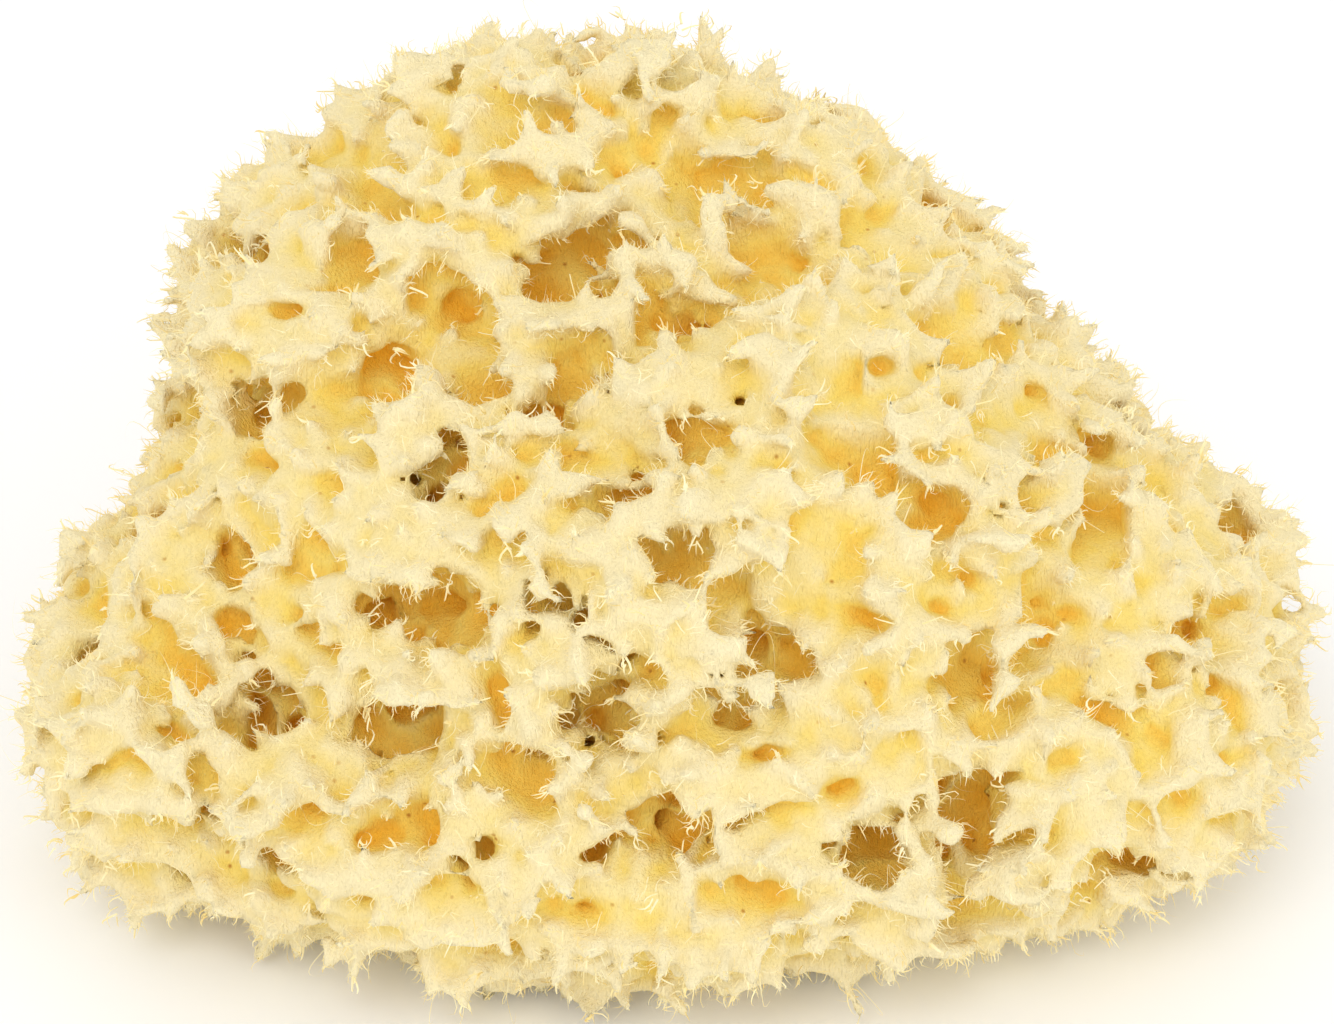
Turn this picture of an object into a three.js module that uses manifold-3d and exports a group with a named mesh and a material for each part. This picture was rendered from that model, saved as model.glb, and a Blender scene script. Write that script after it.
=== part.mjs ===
// A natural bath sponge, dried and trimmed: one lobed mound of felted fibre, cut flat
// where it grew from the rock, with wide canals that open all over its outside.
// Millimetres, +Z up. X runs along the sponge and -Y is its front.
import * as THREE from "three";
import { mergeVertices } from "three/addons/utils/BufferGeometryUtils.js";
import Module from "manifold-3d";

// Driving dimensions
const LENGTH = 158;
const LOBE_BLEND = 3; // how softly one lobe runs into the next
const SKIN_FACES = 9; // divisions along each edge of the icosahedron that makes the skin
const SKIN_SWELL = 1.1; // how far the skin swells and sinks between its canals
const SWELLS = [
  // each a slow wave: its length along X, Y and Z over 2 pi, or 0 for none, and its phase
  { x: 5.1, y: 0, z: 0, phase: 1.3 },
  { x: 0, y: 4.3, z: 9, phase: 0 },
  { x: -11, y: 0, z: 4.7, phase: 0 },
];
const ROUGH = { least: -1.8, most: 0.7 }; // lift of the skin's own corners
const TUFTS = { share: 0.15, least: 2.2, most: 4.2, clear: 4 }; // share of faces, height, above the cut
const WIDEST_MOUTH = 14; // no canal opens wider than this
const MANY_SIDED = 8; // a front canal wider than this has one side more
const CANAL_WOBBLE = 0.1; // a canal's corners stand out or in by this share of its width
const BORE = { inward: 0.55, ahead: 0.45 }; // a front canal turns this much to the skin and the eye

// Canals beside the ones in the front's table
const MORE = {
  spacing: 17, // between the middles of two mouths
  lowest: 7, // no mouth is nearer to the cut
  halfWide: [2.2, 4.4],
  flat: [0.5, 0.95], // height as a share of width
  depth: [7, 15],
  tilt: 0.3,
  sides: 5,
  tries: 4000,
  winding: 7, // turns of the golden angle from one try to the next, which spreads the early ones
};

// The flat cut: a solid middle to rest on, and a ring of canals that the cut went through
const SEAT = { across: -3, along: 9, radius: 11 };
const CUT_CANALS = {
  count: 9,
  clear: [7, 11], // beyond the solid middle
  stretch: { across: 1.15, along: 0.85 },
  halfWide: [1.8, 3],
  flat: 0.8,
  depth: 9,
  tilt: 0.2,
  sides: 5,
};

// A canal is a funnel of rings. Down and width are shares of its depth and width, and the lip
// is added all round in millimetres.
const FUNNEL = [
  { down: -0.3, width: 1.2, lip: 3.4 },
  { down: 0.24, width: 1, lip: 0.4 },
  { down: 0.75, width: 0.75, lip: 0 },
];
const SHALLOW = 12; // a canal that is less deep does without the last ring

// The eye that the front canals are laid out for: they look straight at it.
const EYE_ELEVATION = THREE.MathUtils.degToRad(35);
const EYE_DISTANCE = 400;
const AIM_HEIGHT = 42;

// Each lobe is an egg: its middle and its three half widths. The finished sponge is brought to
// LENGTH over its tufts, which changes them by a hundredth or two.
const LOBES = {
  heart: { middle: [3, 2, 34], half: [58, 49, 42] },
  crown: { middle: [-13, 25, 58], half: [32, 31, 32] },
  brow: { middle: [9, 21, 51], half: [31, 30, 32] },
  shoulder: { middle: [-34, 16, 51], half: [28, 30, 30] },
  right: { middle: [44, -3, 25], half: [36, 31, 23] },
  left: { middle: [-48, -12, 23], half: [30, 33, 25] },
  front: { middle: [4, -28, 19], half: [44, 26, 19] },
  frontLeft: { middle: [-20, -27, 18], half: [28, 25, 19] },
  frontRight: { middle: [34, -23, 20], half: [37, 24, 20] },
  back: { middle: [-8, 38, 30], half: [46, 27, 29] },
  backRight: { middle: [32, 26, 24], half: [33, 28, 23] },
};
const CORE = new THREE.Vector3(0, 4, 30); // every lobe can be seen from here

// Canals that open towards the eye: [across, up, wide, tall, turn in degrees, depth].
// Across and up are from the middle of the view; a deep canal is dark inside.
const FRONT_CANALS = [
  // crown, seen at a slant
  [-22.5, 41.5, 9, 5, 10, 6],
  [-1.5, 43.5, 8, 4, -10, 6],
  [8.5, 39.5, 10, 4.5, -8, 8],
  [-10, 40, 9, 3.6, -8, 6],
  [18.5, 43, 6, 3.5, 0, 5],
  [25, 36.5, 7, 4, -10, 5],
  [-47, 37, 7, 5, 20, 5],
  [-52, 31, 6, 6, 0, 5],
  [-38, 29, 8, 4, 5, 7],
  [-9, 33, 6, 3.6, 0, 6],
  // brow and shoulder
  [-12, 29, 9, 4.6, -6, 15],
  [-24.5, 25.8, 4.5, 4, 20, 12],
  [10.5, 31, 8, 3.4, 10, 9],
  [2.6, 22.2, 5, 3.6, 0, 16],
  [28.5, 29.5, 7, 3.5, 0, 6],
  [31, 22.5, 5, 3.6, 20, 8],
  [-49.5, 19, 6, 6, 0, 7],
  [-33, 16.5, 6, 9.5, -12, 17],
  [-25, 17.5, 6, 8, -25, 9],
  [-7.5, 16.8, 4, 3.4, 0, 10],
  [10, 12.8, 11, 5.8, 14, 20],
  [44, 19.5, 7, 3.5, 10, 6],
  [32, 15.5, 7, 2.8, 0, 7],
  [24, 6, 5, 2.6, 0, 8],
  // middle
  [-50, 9, 7, 8, -10, 10],
  [-20.7, 12.3, 3.2, 6.6, 8, 15],
  [-29, 2.3, 11, 5.2, -28, 22],
  [-10, 9.6, 9.5, 4.6, -26, 19],
  [-5.8, 1.6, 4.6, 3.6, 20, 20],
  [3.2, 8, 3.6, 3.2, 0, 8],
  [31, 1.2, 11, 5, -6, 11],
  [43.5, -1.6, 9, 3.6, 0, 9],
  [15.5, -1.6, 4.6, 3.2, 10, 8],
  [-43.6, -4.2, 6, 6, 0, 8],
  [-52.5, -6.5, 6.4, 8, 10, 11],
  [1.6, -7.2, 10.5, 6, -30, 13],
  [35.6, -9.4, 7, 4.6, 0, 9],
  [54, -2, 8, 3, -8, 7],
  // waist
  [-54.6, -12.6, 6.5, 5, 10, 9],
  [-34.6, -13, 10, 6.4, 15, 16],
  [-26, -14.5, 3.4, 10, -10, 22],
  [-9.2, -13.8, 5.6, 8, 12, 20],
  [12.6, -11.8, 6.4, 4, 0, 10],
  [-17.3, -17.4, 2.8, 2.8, 0, 12],
  [14, -19.4, 8, 3, -22, 20],
  [64, -15.4, 7, 4, 0, 7],
  [48, -14, 6, 4, 0, 7],
  [-62.5, -21, 6, 5.5, 0, 8],
  // lower half
  [-49.5, -25.5, 8, 11, 32, 12],
  [-34, -26.6, 7, 5, 0, 10],
  [-22.2, -24.6, 2.8, 4.4, 0, 18],
  [-9.4, -26.8, 8, 6.4, -14, 15],
  [8.9, -27.2, 11.5, 5.8, -40, 14],
  [25.4, -23, 6.4, 2.8, -24, 18],
  [36.8, -23.5, 7.5, 6.4, 0, 10],
  [52, -23.6, 7, 4, 0, 8],
  [67, -26, 6, 3.4, 0, 6],
  [-63, -28.6, 10, 3.6, -4, 9],
  [-33.8, -32.8, 4, 3.4, 0, 9],
  [60, -33, 7, 4, -12, 8],
  // rim
  [-56.5, -40, 4.4, 5.5, 20, 14],
  [-47.6, -45, 6.6, 3.8, 0, 11],
  [-16.6, -36.4, 6.4, 6, -30, 9],
  [-22.4, -42, 3, 6.4, -12, 12],
  [-31, -40.5, 11, 6, 0, 6],
  [2.2, -40, 11, 4.4, -5, 11],
  [-7.6, -44.6, 7, 4, 0, 9],
  [5.6, -48, 4.2, 6, 0, 9],
  [24, -43.6, 9, 4.6, -20, 12],
  [39.5, -41, 11, 6.2, -35, 12],
  [37, -52, 7, 3.6, 14, 7],
  [-26.5, -47.8, 6, 3.6, -20, 6],
];

// A small repeatable generator, so that the same sponge grows every time.
function seeded(seed) {
  let state = seed >>> 0;
  return () => {
    state = (state + 0x6d2b79f5) >>> 0;
    let t = state;
    t = Math.imul(t ^ (t >>> 15), t | 1);
    t ^= t + Math.imul(t ^ (t >>> 7), t | 61);
    return ((t ^ (t >>> 14)) >>> 0) / 2 ** 32;
  };
}
const random = seeded(7);
const between = (low, high) => low + (high - low) * random();
const anyWay = (most) => {
  const [x, y, z] = [between(-most, most), between(-most, most), between(-most, most)];
  return new THREE.Vector3(x, y, z);
};

// How far a point is outside the blended lobes; it is negative inside.
const lobes = Object.values(LOBES).map(({ middle, half }) => ({
  middle: new THREE.Vector3(...middle),
  half: new THREE.Vector3(...half),
  least: Math.min(...half),
}));
function outside(point) {
  let sum = 0;
  for (const { middle, half, least } of lobes) {
    const reach = point.clone().sub(middle).divide(half).length();
    sum += Math.exp((-(reach - 1) * least) / LOBE_BLEND);
  }
  return -LOBE_BLEND * Math.log(sum);
}

// The skin's point in one direction from the core.
function skinPoint(direction) {
  const halvings = 32;
  let near = 0;
  let far = LENGTH;
  const point = new THREE.Vector3();
  for (let i = 0; i < halvings; i++) {
    const middle = (near + far) / 2;
    point.copy(CORE).addScaledVector(direction, middle);
    if (outside(point) < 0) near = middle;
    else far = middle;
  }
  return point;
}

// Straight out of the skin, from the slope of the blended lobes.
function outward(point) {
  const step = 0.5;
  const slope = ["x", "y", "z"].map((axis) => {
    const ahead = point.clone();
    const behind = point.clone();
    ahead[axis] += step;
    behind[axis] -= step;
    return outside(ahead) - outside(behind);
  });
  return new THREE.Vector3(...slope).normalize();
}

// The slow swells together, from -1 to 1.
function swell(point) {
  let sum = 0;
  for (const wave of SWELLS) {
    let phase = wave.phase;
    for (const axis of ["x", "y", "z"]) {
      if (wave[axis]) phase += point[axis] / wave[axis];
    }
    sum += Math.sin(phase);
  }
  return sum / SWELLS.length;
}

// Corners that meet become one, so that the faces close.
function joined(geometry) {
  geometry.deleteAttribute("normal");
  geometry.deleteAttribute("uv");
  return mergeVertices(geometry, 1e-4);
}
function asSolid(wasm, geometry) {
  const closed = joined(geometry);
  return new wasm.Manifold(
    new wasm.Mesh({
      numProp: 3,
      vertProperties: closed.attributes.position.array,
      triVerts: new Uint32Array(closed.index.array),
    }),
  );
}

// The outside of the sponge before any canal opens: lobes, swells and pointed tufts.
function makeSkin() {
  const skin = joined(new THREE.IcosahedronGeometry(1, SKIN_FACES));
  const position = skin.attributes.position;
  const direction = new THREE.Vector3();
  for (let i = 0; i < position.count; i++) {
    direction.fromBufferAttribute(position, i).normalize();
    const point = skinPoint(direction);
    const lift = SKIN_SWELL * swell(point) + between(ROUGH.least, ROUGH.most);
    point.addScaledVector(outward(point), lift);
    position.setXYZ(i, point.x, point.y, point.z);
  }
  return tufted(skin);
}

// Some faces of the skin are drawn up to a point.
function tufted(skin) {
  const corners = [...skin.attributes.position.array];
  const index = skin.index.array;
  const faces = [];
  for (let i = 0; i < index.length; i += 3) {
    const [a, b, c] = index.slice(i, i + 3);
    const point = new THREE.Vector3();
    for (const corner of [a, b, c]) {
      point.add(new THREE.Vector3().fromArray(corners, 3 * corner).divideScalar(3));
    }
    if (random() > TUFTS.share || point.z < TUFTS.clear) {
      faces.push(a, b, c);
      continue;
    }
    const tip = corners.length / 3;
    corners.push(...point.addScaledVector(outward(point), between(TUFTS.least, TUFTS.most)));
    faces.push(a, b, tip, b, c, tip, c, a, tip);
  }
  const geometry = new THREE.BufferGeometry();
  geometry.setAttribute("position", new THREE.Float32BufferAttribute(corners, 3));
  geometry.setIndex(faces);
  return geometry;
}

// One canal: its rings lie across the bore, and it ends in a point.
function makeCanal({ mouth, bore, along, halfWide, halfTall, depth, sides }) {
  const across = along.clone().addScaledVector(bore, -along.dot(bore)).normalize();
  const up = across.clone().cross(bore);
  const turn = between(0, Math.PI);
  const uneven = Array.from({ length: sides }, () => 1 + between(-CANAL_WOBBLE, CANAL_WOBBLE));
  const rings = depth < SHALLOW ? FUNNEL.slice(0, 2) : FUNNEL;
  const corners = [];
  const place = (x, y, down) => {
    const point = mouth.clone().addScaledVector(bore, down);
    corners.push(...point.addScaledVector(across, x).addScaledVector(up, y));
  };
  place(0, 0, rings[0].down * depth);
  for (const { down, width, lip } of rings) {
    for (let side = 0; side < sides; side++) {
      const angle = turn + (side / sides) * 2 * Math.PI;
      const x = (halfWide * width * uneven[side] + lip) * Math.cos(angle);
      const y = (halfTall * width * uneven[side] + lip) * Math.sin(angle);
      place(x, y, down * depth);
    }
  }
  place(0, 0, depth);
  const corner = (ring, side) => 1 + ring * sides + (side % sides);
  const last = rings.length - 1;
  const bottom = 1 + rings.length * sides;
  const faces = [];
  for (let side = 0; side < sides; side++) {
    faces.push(0, corner(0, side), corner(0, side + 1));
    for (let ring = 0; ring < last; ring++) {
      const [a, b] = [corner(ring, side), corner(ring, side + 1)];
      const [c, d] = [corner(ring + 1, side), corner(ring + 1, side + 1)];
      faces.push(a, c, b, b, c, d);
    }
    faces.push(corner(last, side), bottom, corner(last, side + 1));
  }
  const geometry = new THREE.BufferGeometry();
  geometry.setAttribute("position", new THREE.Float32BufferAttribute(corners, 3));
  geometry.setIndex(faces);
  return geometry;
}

// The eye's own axes: straight ahead, to its right and upwards.
const AHEAD = new THREE.Vector3(0, Math.cos(EYE_ELEVATION), -Math.sin(EYE_ELEVATION));
const RIGHT = new THREE.Vector3(1, 0, 0);
const UP = new THREE.Vector3(0, Math.sin(EYE_ELEVATION), Math.cos(EYE_ELEVATION));
const AIM = new THREE.Vector3(0, 0, AIM_HEIGHT);
const EYE = AIM.clone().addScaledVector(AHEAD, -EYE_DISTANCE);

// Where the eye's ray through a point of the view first meets the skin, or null past its edge.
function firstSkin(across, up) {
  const through = AIM.clone().addScaledVector(RIGHT, across).addScaledVector(UP, up);
  const ray = through.sub(EYE).normalize();
  const point = new THREE.Vector3();
  const step = 0.5;
  for (let far = EYE_DISTANCE - LENGTH; far < EYE_DISTANCE + LENGTH; far += step) {
    point.copy(EYE).addScaledVector(ray, far);
    if (outside(point) < 0) return { point: point.clone(), ray };
  }
  return null;
}

// Half of a canal's width, small enough for its mouth to stay under the widest. At the skin,
// which is between the first two rings, the canal has about the mean of their widths and lips.
const AT_SKIN = {
  width: (FUNNEL[0].width + FUNNEL[1].width) / 2,
  lip: (FUNNEL[0].lip + FUNNEL[1].lip) / 2,
};
const WIDEST_HALF = (WIDEST_MOUTH / 2 - AT_SKIN.lip) / AT_SKIN.width / (1 + CANAL_WOBBLE);
const narrowed = (half) => Math.min(half, WIDEST_HALF);

// A wider canal has more sides.
const sidesFor = (widest) => (widest > MANY_SIDED ? MORE.sides + 1 : MORE.sides);

function frontCanals() {
  const made = [];
  for (const [across, up, wide, tall, turn, depth] of FRONT_CANALS) {
    const met = firstSkin(across, up);
    if (!met) throw new Error(`the canal at ${across}, ${up} is off the sponge`);
    const bore = outward(met.point).multiplyScalar(-BORE.inward);
    bore.addScaledVector(met.ray, BORE.ahead).normalize();
    const angle = THREE.MathUtils.degToRad(turn);
    const along = RIGHT.clone().multiplyScalar(Math.cos(angle)).addScaledVector(UP, Math.sin(angle));
    made.push({
      mouth: met.point,
      bore,
      along,
      halfWide: narrowed(wide / 2),
      halfTall: narrowed(tall / 2),
      depth,
      sides: sidesFor(Math.max(wide, tall)),
    });
  }
  return made;
}

// Canals spread evenly over the rest of the skin, and turned at random.
function moreCanals(taken) {
  const made = [];
  const mouths = taken.map((canal) => canal.mouth);
  const golden = Math.PI * (3 - Math.sqrt(5));
  for (let i = 0; i < MORE.tries; i++) {
    const height = 1 - (2 * i + 1) / MORE.tries;
    const ring = Math.sqrt(1 - height * height);
    const turn = i * golden * MORE.winding;
    const direction = new THREE.Vector3(ring * Math.cos(turn), ring * Math.sin(turn), height);
    const mouth = skinPoint(direction);
    if (mouth.z < MORE.lowest) continue;
    if (mouths.some((other) => other.distanceTo(mouth) < MORE.spacing)) continue;
    mouths.push(mouth);
    const bore = outward(mouth).negate().add(anyWay(MORE.tilt)).normalize();
    const halfWide = between(...MORE.halfWide);
    made.push({
      mouth,
      bore,
      along: anyWay(1).normalize(),
      halfWide,
      halfTall: halfWide * between(...MORE.flat),
      depth: between(...MORE.depth),
      sides: MORE.sides,
    });
  }
  return made;
}

function cutCanals() {
  const { count, clear, stretch, halfWide: wide, tilt, flat, depth, sides } = CUT_CANALS;
  const made = [];
  for (let i = 0; i < count; i++) {
    const angle = (i / count) * 2 * Math.PI + between(-tilt, tilt);
    const far = SEAT.radius + between(...clear);
    const mouth = new THREE.Vector3(
      SEAT.across + far * stretch.across * Math.cos(angle),
      SEAT.along + far * stretch.along * Math.sin(angle),
      0,
    );
    const bore = new THREE.Vector3(between(-tilt, tilt), between(-tilt, tilt), 1).normalize();
    const along = new THREE.Vector3(Math.cos(angle), Math.sin(angle), 0);
    const halfWide = between(...wide);
    made.push({ mouth, bore, along, halfWide, halfTall: halfWide * flat, depth, sides });
  }
  return made;
}

// Everything under the cut, far past the sponge's sides.
function underCut() {
  return new THREE.BoxGeometry(3 * LENGTH, 3 * LENGTH, LENGTH).translate(0, 0, -LENGTH / 2);
}

async function growSponge() {
  const wasm = await Module();
  wasm.setup();
  let grown = asSolid(wasm, makeSkin()).subtract(asSolid(wasm, underCut()));
  const front = frontCanals();
  for (const canal of [...front, ...moreCanals(front), ...cutCanals()]) {
    grown = grown.subtract(asSolid(wasm, makeCanal(canal)));
  }
  // A crumb that the canals cut loose is dropped.
  const bodies = grown.decompose().sort((a, b) => b.volume() - a.volume());
  const mesh = bodies[0].getMesh();
  const geometry = new THREE.BufferGeometry();
  geometry.setAttribute("position", new THREE.BufferAttribute(mesh.vertProperties, 3));
  geometry.setIndex(new THREE.BufferAttribute(mesh.triVerts, 1));
  return geometry;
}

const geometry = await growSponge();
// The origin is under the middle of the sponge, on the cut.
geometry.computeBoundingBox();
const middle = geometry.boundingBox.getCenter(new THREE.Vector3());
const scale = LENGTH / geometry.boundingBox.getSize(new THREE.Vector3()).x;
geometry.translate(-middle.x, -middle.y, 0).scale(scale, scale, scale);
geometry.computeVertexNormals();

const felt = new THREE.MeshStandardMaterial({ color: 0xf3dfa6, roughness: 0.95, metalness: 0 });
const sponge = new THREE.Mesh(geometry, felt);
sponge.name = "sponge";

const group = new THREE.Group();
group.add(sponge);
export default group;
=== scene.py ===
# %% [markdown]
# A natural bath sponge
# The real thing is the dried skeleton of one sea animal: felted fibre, full of canals, with
# ragged tufts wherever two canals leave a ridge between them. It comes out of the sea as one
# piece and is cut flat where it held on to the rock.
# The lesson loads the solid model first, because it fixes the size, the lobes and the canals.

# %% The frame
import math
import bmesh
import bpy
import numpy as np
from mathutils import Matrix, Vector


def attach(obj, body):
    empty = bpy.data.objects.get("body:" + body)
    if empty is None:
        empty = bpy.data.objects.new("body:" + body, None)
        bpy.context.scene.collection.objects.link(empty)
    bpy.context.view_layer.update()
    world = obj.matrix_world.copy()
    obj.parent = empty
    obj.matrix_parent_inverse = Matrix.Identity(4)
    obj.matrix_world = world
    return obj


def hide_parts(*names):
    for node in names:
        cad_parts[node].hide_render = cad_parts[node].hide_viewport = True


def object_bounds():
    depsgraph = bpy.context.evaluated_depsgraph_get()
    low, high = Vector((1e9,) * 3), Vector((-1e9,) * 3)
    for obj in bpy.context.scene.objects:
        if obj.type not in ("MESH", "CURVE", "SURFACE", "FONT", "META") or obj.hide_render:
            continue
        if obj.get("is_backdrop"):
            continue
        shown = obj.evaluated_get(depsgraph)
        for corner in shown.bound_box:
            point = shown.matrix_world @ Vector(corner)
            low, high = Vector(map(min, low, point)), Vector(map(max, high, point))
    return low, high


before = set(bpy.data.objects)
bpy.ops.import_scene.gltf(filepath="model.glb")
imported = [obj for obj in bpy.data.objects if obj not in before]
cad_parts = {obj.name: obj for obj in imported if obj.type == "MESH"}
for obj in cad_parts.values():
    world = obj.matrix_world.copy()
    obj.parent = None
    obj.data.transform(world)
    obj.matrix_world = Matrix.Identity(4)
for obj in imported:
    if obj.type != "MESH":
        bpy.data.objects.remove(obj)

import openvdb
from mathutils import Vector

solid_box = [list(corner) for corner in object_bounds()]
MM = 0.001
print("the solid spans", [round((high - low) / MM, 1) for low, high in zip(*solid_box)], "mm")

# %% [markdown]
# The camera
# It looks down on the sponge's low front at 35 degrees from 400 mm away. A long lens keeps the
# lobes in proportion.

# %% Camera
EYE_ELEVATION = math.radians(35)
EYE_DISTANCE = 400 * MM
AIM = Vector((-1.0, -4.9, 39.1)) * MM
LENS = 90

ahead = Vector((0, math.cos(EYE_ELEVATION), -math.sin(EYE_ELEVATION)))
camera = bpy.data.objects.new("camera", bpy.data.cameras.new("camera"))
camera.location = AIM - ahead * EYE_DISTANCE
camera.rotation_euler = ahead.to_track_quat("-Z", "Y").to_euler()
camera.data.lens = LENS
camera.data.clip_start = 0.01
bpy.context.collection.objects.link(camera)
bpy.context.scene.camera = camera
print("camera at", [round(x, 3) for x in camera.location])

# %% [markdown]
# Sculpting in a block of cells
# A sponge is holes as much as it is wall. Bevels and insets make neat holes, and a real sponge
# has none: its canals merge, its ridges overhang. So the shape is kept as a block of small
# cells, each holding its distance to the surface, negative inside. Cutting a canal or drawing
# out a tuft is then a minimum or a maximum of distances near one place.

# %% The block of cells
CELL = 0.62 * MM
MARGIN = 6 * MM
low, high = (np.array(corner) for corner in solid_box)
first = np.floor((low - MARGIN) / CELL).astype(int)
count = np.ceil((high + MARGIN) / CELL).astype(int) - first + 1
axes = [(first[i] + np.arange(count[i], dtype=np.float32)) * np.float32(CELL) for i in range(3)]
print("cells", count.tolist(), "or", round(np.prod(count) / 1e6, 1), "million")


def solid_distance(node, reach):
    """The distance from every cell to a CAD node's surface, up to reach."""
    copy = node.data.copy()
    shape = bmesh.new()
    shape.from_mesh(copy)
    bmesh.ops.remove_doubles(shape, verts=shape.verts, dist=1e-7)
    bmesh.ops.triangulate(shape, faces=shape.faces)
    points = np.array([v.co for v in shape.verts], dtype=np.float32)
    faces = np.array([[v.index for v in f.verts] for f in shape.faces], dtype=np.uint32)
    shape.free()
    bpy.data.meshes.remove(copy)
    levels = openvdb.FloatGrid.createLevelSetFromPolygons(
        points,
        triangles=faces,
        transform=openvdb.createLinearTransform(voxelSize=CELL),
        halfWidth=reach / CELL,
    )
    cells = np.empty(tuple(count), dtype=np.float32)
    levels.copyToArray(cells, ijk=tuple(int(i) for i in first))
    return cells


def blurred(cells, times):
    """A soft blur: each pass spreads a cell by about 0.7 of a cell."""
    for _ in range(times):
        for axis in range(3):
            spread = np.moveaxis(cells, axis, 0)
            middle = spread[1:-1].copy()
            inner = (spread[:-2] + spread[2:]) * 0.25 + middle * 0.5
            cells = cells.copy()
            np.moveaxis(cells, axis, 0)[1:-1] = inner
    return cells


REACH = 9 * MM
ROUNDING = 8
solid = solid_distance(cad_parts["sponge"], REACH)
field = blurred(solid, ROUNDING)
print("cells inside", int((field < 0).sum()))

# %% [markdown]
# Clouds
# Nothing on a sponge is even. A cloud is smooth noise: random values on a coarse lattice, spread
# to the cells by a cubic curve along each axis in turn, which takes no time even for millions.

# %% Clouds
chance = np.random.default_rng(11)


def spread_weights(cells, step):
    """Cubic weights that carry a lattice with a spacing of step to so many cells."""
    place = np.arange(cells) * CELL / step
    whole = np.floor(place).astype(int)
    t = place - whole
    cubic = [(1 - t) ** 3, 3 * t**3 - 6 * t**2 + 4, 1 + 3 * t + 3 * t**2 - 3 * t**3, t**3]
    weights = np.zeros((cells, whole[-1] + 4), dtype=np.float32)
    for offset, weight in enumerate(cubic):
        weights[np.arange(cells), whole + offset] = weight / 6
    return weights


def cloud(*sizes):
    """Smooth noise over every cell with a spread of 1, as wide as one size or one for each axis."""
    spreads = [spread_weights(n, size / 2) for n, size in zip(count, sizes * (3 // len(sizes)))]
    values = chance.standard_normal([w.shape[1] for w in spreads]).astype(np.float32)
    for weights in spreads:
        values = np.tensordot(values, weights, axes=(0, 1))
    return values / values.std()


LUMPS = 14 * MM
LUMP_HEIGHT = 0.7 * MM

field += cloud(LUMPS) * LUMP_HEIGHT
print("distances from", *(round(float(end) / MM, 1) for end in (field.min(), field.max())), "mm")

# %% [markdown]
# Folds
# Between its canals the felt lies in folds with sharp, winding crests. A cloud changes sign
# along just such winding lines, so its size without its sign is a valley with a crest round it.
# The folds are longest along the sponge and shortest from top to bottom.

# %% Folds
FOLDS = (12 * MM, 9 * MM, 6.5 * MM)
FOLD_HEIGHT = 1.5 * MM
CLOUD_SIZE = 0.8  # about a cloud's mean, its sign left out

field += (np.abs(cloud(*FOLDS)) - CLOUD_SIZE) * FOLD_HEIGHT
print("folds", [round(size / MM, 1) for size in FOLDS], "mm wide")

# %% [markdown]
# Canals
# The solid model has the wide canals. Between them a sponge has hundreds of narrower ones, each
# an uneven funnel. A place for each is picked on the surface so that no two are too near.

# %% Tools that work near one place
def window(centre, reach):
    """The slices of the cells within reach of a place, and the coordinates of those cells."""
    start = np.maximum(np.floor((centre - reach) / CELL).astype(int) - first, 0)
    stop = np.minimum(np.ceil((centre + reach) / CELL).astype(int) - first + 1, count)
    near = tuple(slice(a, b) for a, b in zip(start, stop))
    x, y, z = (axes[i][near[i]] for i in range(3))
    return near, (x[:, None, None], y[None, :, None], z[None, None, :])


def soft_least(a, b, blend):
    """The lower of two distances, rounded where they cross."""
    cross = np.maximum(blend - np.abs(a - b), 0) / blend
    return np.minimum(a, b) - cross * cross * blend / 4


def unit(vectors):
    return vectors / np.linalg.norm(vectors, axis=-1, keepdims=True)


def slope(field, spots, step):
    """The outward direction at some cells."""
    parts = []
    for axis in range(3):
        shift = np.zeros(3, dtype=int)
        shift[axis] = step
        after = np.minimum(spots + shift, count - 1)
        before = np.maximum(spots - shift, 0)
        parts.append(field[tuple(after.T)] - field[tuple(before.T)])
    return unit(np.stack(parts, axis=1) + 1e-12)


def spaced_places(field, spacing, lowest, allowed=None):
    """Cells on the surface, in random order, with no two nearer than spacing."""
    on_surface = np.abs(field) < CELL / 2
    if allowed is not None:
        on_surface &= allowed
    spots = np.argwhere(on_surface)
    spots = spots[(spots[:, 2] + first[2]) * CELL > lowest]
    chance.shuffle(spots)
    squares = np.floor(spots * CELL / spacing).astype(int)
    limit = (spacing / CELL) ** 2
    taken, kept = {}, []
    for spot, square in zip(spots.tolist(), squares.tolist()):
        x, y, z = square
        near = [
            other
            for i in (x - 1, x, x + 1)
            for j in (y - 1, y, y + 1)
            for k in (z - 1, z, z + 1)
            for other in taken.get((i, j, k), ())
        ]
        if all(sum((a - b) ** 2 for a, b in zip(spot, other)) > limit for other in near):
            taken.setdefault((x, y, z), []).append(spot)
            kept.append(spot)
    return np.array(kept)


# %% Narrow canals
UP = np.array([0.0, 0.0, 1.0])
LEVEL = np.array([0.4, 0.0, 0.0])
PIT_SPACING = 7.4 * MM
PIT_WIDTH = (0.8 * MM, 2.3 * MM)
PIT_STRETCH = (1.4, 3.2)
PIT_DEPTH = (1 * MM, 3.8 * MM)
PIT_RISE = 0.45
PIT_SWAY = (0.35, 0.2)  # of the long way across, and of the way in
PIT_MOUTH = 1.5  # the width at the mouth, against 1 a little over half way down
PIT_TAPER = 0.9
PIT_BLEND = 1.8 * MM
LOWEST_PIT = 3 * MM


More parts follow.
